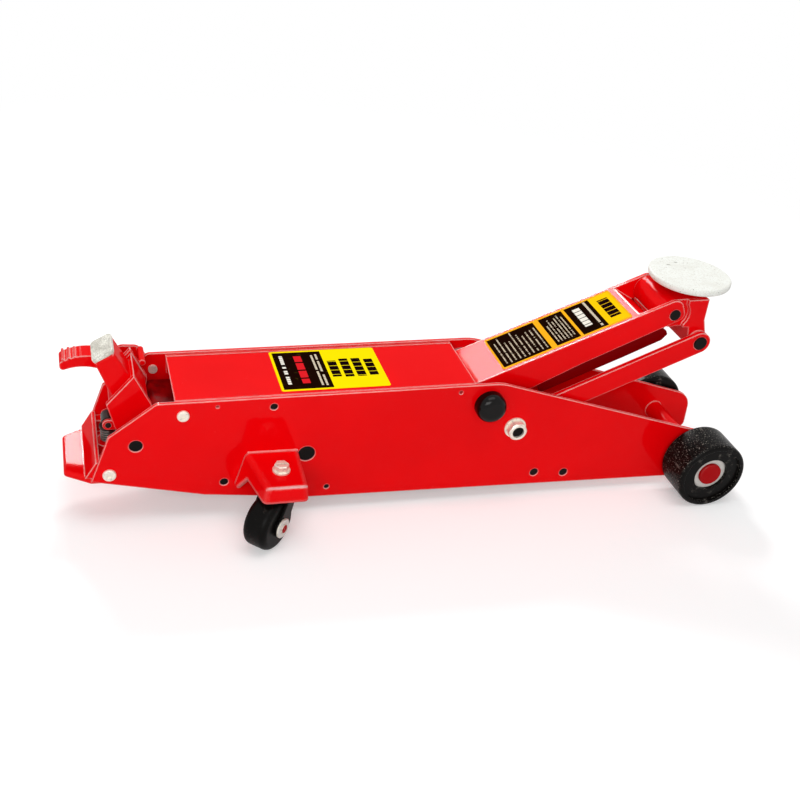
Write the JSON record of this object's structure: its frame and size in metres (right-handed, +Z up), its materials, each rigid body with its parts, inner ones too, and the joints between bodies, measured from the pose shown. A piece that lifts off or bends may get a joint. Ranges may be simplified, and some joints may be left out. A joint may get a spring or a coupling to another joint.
{
  "type": "hydraulic floor jack",
  "caption": "Wheeled hydraulic floor jack with side-plate frame, levelling lift arm, round saddle, handle socket, foot pedal and swivel casters.",
  "frame": {"origin": "on the floor, on the centre plane, midway between the rear shelf and the front of the nose", "axes": "+X towards the saddle end, +Y to the jack's left, +Z up from the floor"},
  "size_m": [0.8004, 0.2668, 0.2654],
  "materials": {
    "red_paint": "gloss",
    "bright_steel": "satin",
    "black_oxide": "satin",
    "black_cap": "gloss",
    "cast_block": "matte",
    "black_rubber": "matte",
    "spring_steel": "satin",
    "saddle_pad": "matte",
    "chrome_rod": "polished",
    "pale_cap": "satin",
    "wheel_black": "satin"
  },
  "bodies": {
    "chassis": {"side_plate_left": "red_paint", "side_plate_right": "red_paint", "top_cover": "red_paint", "frame_screws": "bright_steel", "cover_spacers": "red_paint", "tail_block": "red_paint", "axle_tube": "red_paint", "front_axle": "bright_steel", "axle_caps": "red_paint", "arm_pivot_shaft": "bright_steel", "pivot_caps": "black_cap", "arm_spacers": "bright_steel", "link_bolts": "bright_steel", "link_nuts": "bright_steel", "caster_bolts": "bright_steel", "caster_bracket_left": "red_paint", "caster_bracket_right": "red_paint", "pump_block": "cast_block", "oil_tank": "red_paint", "ram_cylinder": "bright_steel", "cylinder_gland": "black_oxide", "filler_plug": "black_rubber", "yoke_shaft": "black_oxide", "yoke_collars": "bright_steel", "stop_screw": "bright_steel", "return_spring_left": "spring_steel", "return_spring_right": "spring_steel", "plunger_spring": "spring_steel"},
    "arm": {"lift_arm": "red_paint", "arm_hub": "red_paint", "lever_pin": "bright_steel", "head_pin": "black_oxide"},
    "link_left": {"radius_link_left": "red_paint"},
    "link_right": {"radius_link_right": "red_paint"},
    "head": {"saddle_head": "red_paint", "link_pins": "black_oxide"},
    "saddle": {"saddle_disc": "saddle_pad", "saddle_stem": "bright_steel"},
    "ram": {"piston": "bright_steel", "piston_rod": "chrome_rod", "rod_yoke": "black_oxide", "spring_bar": "bright_steel"},
    "handle": {"handle_socket": "red_paint", "pump_yoke": "red_paint", "roller_pin": "bright_steel", "foot_pedal": "red_paint"},
    "cap": {"socket_cap": "pale_cap"},
    "roller": {"pump_roller": "bright_steel"},
    "plunger": {"pump_plunger": "chrome_rod"},
    "valve": {"release_valve": "bright_steel"},
    "wheel_left": {"front_wheel_left": "wheel_black", "wheel_bush_left": "bright_steel"},
    "wheel_right": {"front_wheel_right": "wheel_black", "wheel_bush_right": "bright_steel"},
    "fork_left": {"caster_fork_left": "black_oxide", "caster_axle_left": "bright_steel"},
    "fork_right": {"caster_fork_right": "black_oxide", "caster_axle_right": "bright_steel"},
    "roll_left": {"caster_wheel_left": "wheel_black"},
    "roll_right": {"caster_wheel_right": "wheel_black"}
  },
  "joints": [
    {"name": "arm_lift", "type": "hinge", "parent": "chassis", "child": "arm", "pos_m": [0.0598, 0, 0.131], "axis": [0, -1, 0], "range_deg": [-30, 40]},
    {"name": "link_left_swing", "type": "hinge", "parent": "chassis", "child": "link_left", "pos_m": [0.0973, 0, 0.098], "axis": [0, -1, 0], "range_deg": [-30.5, 40.5]},
    {"name": "link_right_swing", "type": "hinge", "parent": "chassis", "child": "link_right", "pos_m": [0.0973, 0, 0.098], "axis": [0, -1, 0], "range_deg": [-30.5, 40.5]},
    {"name": "head_level", "type": "hinge", "parent": "arm", "child": "head", "pos_m": [0.2788, 0, 0.23], "axis": [0, -1, 0], "range_deg": [-40.5, 30.5]},
    {"name": "saddle_swivel", "type": "hinge", "parent": "head", "child": "saddle", "pos_m": [0.3091, 0, 0.25], "axis": [0, 0, 1], "continuous": true},
    {"name": "ram_stroke", "type": "slide", "parent": "chassis", "child": "ram", "axis": [1, 0, 0], "range_m": [-0.0245, 0.0325], "deforming": ["return_spring_left", "return_spring_right"]},
    {"name": "handle_pump", "type": "hinge", "parent": "chassis", "child": "handle", "pos_m": [-0.3279, 0, 0.1002], "axis": [0, -1, 0], "range_deg": [-4, 32]},
    {"name": "cap_pull", "type": "slide", "parent": "handle", "child": "cap", "axis": [-0.5066, 0, 0.8622], "range_m": [0, 0.05]},
    {"name": "roller_spin", "type": "hinge", "parent": "handle", "child": "roller", "pos_m": [-0.3532, 0, 0.1002], "axis": [0, 1, 0], "continuous": true},
    {"name": "pump_stroke", "type": "slide", "parent": "chassis", "child": "plunger", "axis": [0, 0, -1], "range_m": [-0.0019, 0.0143], "deforming": ["plunger_spring"]},
    {"name": "valve_turn", "type": "hinge", "parent": "chassis", "child": "valve", "pos_m": [-0.3102, 0, 0.078], "axis": [1, 0, 0], "range_deg": [0, 180]},
    {"name": "wheel_left_spin", "type": "hinge", "parent": "chassis", "child": "wheel_left", "pos_m": [0.3468, 0.08, 0.0436], "axis": [0, 1, 0], "continuous": true},
    {"name": "wheel_right_spin", "type": "hinge", "parent": "chassis", "child": "wheel_right", "pos_m": [0.3468, -0.08, 0.0436], "axis": [0, 1, 0], "continuous": true},
    {"name": "caster_left_swivel", "type": "hinge", "parent": "chassis", "child": "fork_left", "pos_m": [-0.1812, 0.091, 0.08], "axis": [0, 0, 1], "range_deg": [-138, 50]},
    {"name": "caster_right_swivel", "type": "hinge", "parent": "chassis", "child": "fork_right", "pos_m": [-0.1812, -0.091, 0.08], "axis": [0, 0, 1], "range_deg": [-50, 138]},
    {"name": "caster_left_spin", "type": "hinge", "parent": "fork_left", "child": "roll_left", "pos_m": [-0.19509, 0.10539, 0.029], "axis": [-0.7193, -0.6947, 0], "continuous": true},
    {"name": "caster_right_spin", "type": "hinge", "parent": "fork_right", "child": "roll_right", "pos_m": [-0.19509, -0.10539, 0.029], "axis": [-0.7193, 0.6947, 0], "continuous": true}
  ],
  "couplings": [
    {"joint": "link_left_swing", "follows": "arm_lift", "ratio": 1},
    {"joint": "link_right_swing", "follows": "arm_lift", "ratio": 1},
    {"joint": "head_level", "follows": "arm_lift", "ratio": -1},
    {"joint": "ram_stroke", "follows": "arm_lift", "m_per_rad": 0.0457},
    {"joint": "pump_stroke", "follows": "handle_pump", "m_per_rad": 0.0253}
  ]
}
